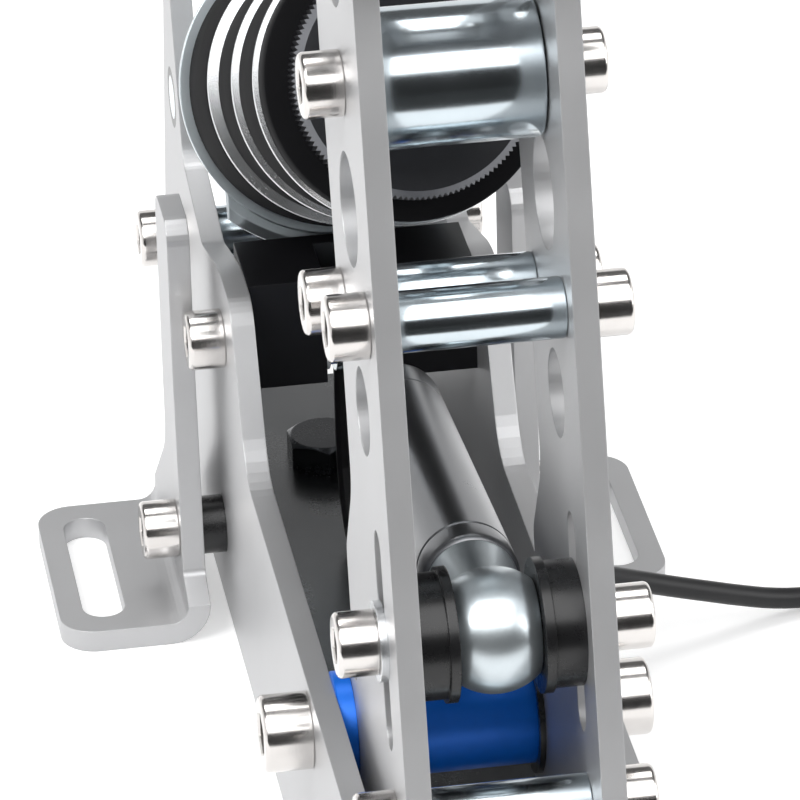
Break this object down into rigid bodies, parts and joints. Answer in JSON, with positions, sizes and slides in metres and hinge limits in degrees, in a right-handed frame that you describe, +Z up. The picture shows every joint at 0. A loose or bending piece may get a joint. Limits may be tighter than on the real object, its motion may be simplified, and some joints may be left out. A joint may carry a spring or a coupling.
{
  "type": "sim racing brake pedal",
  "caption": "Load cell brake pedal for sim racing, with a hinged arm, a rubber stack on a push rod, a hydraulic damper and slotted feet.",
  "frame": {"origin": "middle of the base on the floor, without the free cable", "axes": "+X to the right as the driver looks, +Y away from the driver towards the rear, +Z up"},
  "size_m": [0.2677, 0.3102, 0.3028],
  "materials": {
    "stainless_plate": "bead-blasted, fine even grain",
    "zinc_steel": "bright zinc, slightly blue",
    "screw_steel": "polished",
    "black_aluminium": "satin black anodised",
    "blue_aluminium": "saturated blue anodised",
    "bare_aluminium": "fine satin",
    "black_steel": "satin black",
    "rubber": "matt",
    "black_plastic": "satin",
    "blue_plastic": "satin",
    "pale_plastic": "satin",
    "cable_black": "matt sheath"
  },
  "bodies": {
    "frame": {"side_plate_left": "stainless_plate", "side_plate_right": "stainless_plate", "foot_bracket_left": "stainless_plate", "foot_bracket_right": "stainless_plate", "bracket_rings": "black_plastic", "floor_plate": "black_steel", "floor_bolt": "black_steel", "cross_block": "black_aluminium", "frame_spacer": "zinc_steel", "frame_screws": "screw_steel", "screw_washers": "screw_steel", "pivot_tube": "blue_aluminium", "pivot_screws": "screw_steel", "trunnion_bushes": "black_plastic", "damper_rear_bushes": "blue_plastic", "damper_rear_washers": "pale_plastic", "cable_gland": "black_plastic", "cell_lead": "cable_black", "cable": "cable_black", "cable_coil": "cable_black", "cable_tail": "cable_black", "cable_plug": "black_plastic", "cable_tie": "black_plastic"},
    "arm": {"arm_plate_left": "stainless_plate", "arm_plate_right": "stainless_plate", "arm_spacers": "zinc_steel", "arm_screws": "screw_steel", "pivot_bushes": "black_plastic", "damper_screws": "screw_steel", "damper_washers": "zinc_steel", "damper_bushes": "black_plastic", "face_bracket": "stainless_plate", "pedal_face": "bare_aluminium", "face_screws": "screw_steel"},
    "load_unit": {"reaction_cup": "zinc_steel", "load_cell": "bare_aluminium", "trunnion_block": "bare_aluminium", "trunnion_pins": "zinc_steel", "trunnion_collars": "zinc_steel", "rubber_disc_3": "rubber"},
    "rod_unit": {"cross_bar": "zinc_steel", "push_rod": "zinc_steel", "pressure_plate": "black_aluminium", "front_washer": "zinc_steel", "rod_washer": "zinc_steel", "rod_nut": "zinc_steel", "rubber_disc_1": "rubber"},
    "washer_unit_1": {"middle_washer_1": "zinc_steel", "rubber_disc_2": "rubber"},
    "washer_unit_2": {"middle_washer_2": "zinc_steel"},
    "dial": {"preload_dial": "black_aluminium"},
    "damper_rod_unit": {"damper_rod": "zinc_steel", "damper_piston": "zinc_steel", "damper_rear_eye": "zinc_steel"},
    "damper_body_unit": {"damper_body": "black_aluminium", "damper_cap": "black_aluminium", "damper_eye": "zinc_steel"}
  },
  "joints": [
    {"name": "arm_hinge", "type": "hinge", "parent": "frame", "child": "arm", "pos_m": [0, -0.072, 0.045], "axis": [-1, 0, 0], "range_deg": [0, 8], "stiffness_Nm_per_rad": 200, "springref_deg": -0.57},
    {"name": "stack_swivel", "type": "hinge", "parent": "frame", "child": "load_unit", "pos_m": [0, 0.1295, 0.0943], "axis": [-1, 0, 0], "range_deg": [0, 2.5]},
    {"name": "rod_slide", "type": "slide", "parent": "load_unit", "child": "rod_unit", "axis": [0, 0.9051, -0.4252], "range_m": [0, 0.0188], "deforming": ["rubber_disc_1"]},
    {"name": "washer_1_slide", "type": "slide", "parent": "load_unit", "child": "washer_unit_1", "axis": [0, 0.9051, -0.4252], "range_m": [0, 0.0126], "deforming": ["rubber_disc_2"]},
    {"name": "washer_2_slide", "type": "slide", "parent": "load_unit", "child": "washer_unit_2", "axis": [0, 0.9051, -0.4252], "range_m": [0, 0.0063], "deforming": ["rubber_disc_3"]},
    {"name": "preload_turn", "type": "hinge", "parent": "rod_unit", "child": "dial", "pos_m": [0, -0.03624, 0.17216], "axis": [0, 0.9051, -0.4252], "range_deg": [-180, 180]},
    {"name": "damper_swivel", "type": "hinge", "parent": "frame", "child": "damper_rod_unit", "pos_m": [0, 0.051, 0.0725], "axis": [-1, 0, 0], "range_deg": [0, 2.55]},
    {"name": "damper_slide", "type": "slide", "parent": "damper_rod_unit", "child": "damper_body_unit", "axis": [0, 0.9932, -0.1166], "range_m": [0, 0.0062]}
  ],
  "couplings": [
    {"joint": "stack_swivel", "follows": "arm_hinge", "ratio": 0.30709},
    {"joint": "rod_slide", "follows": "arm_hinge", "m_per_rad": 0.13377},
    {"joint": "washer_1_slide", "follows": "arm_hinge", "m_per_rad": 0.089183},
    {"joint": "washer_2_slide", "follows": "arm_hinge", "m_per_rad": 0.044591},
    {"joint": "damper_swivel", "follows": "arm_hinge", "ratio": 0.30848},
    {"joint": "damper_slide", "follows": "arm_hinge", "m_per_rad": 0.044221}
  ]
}
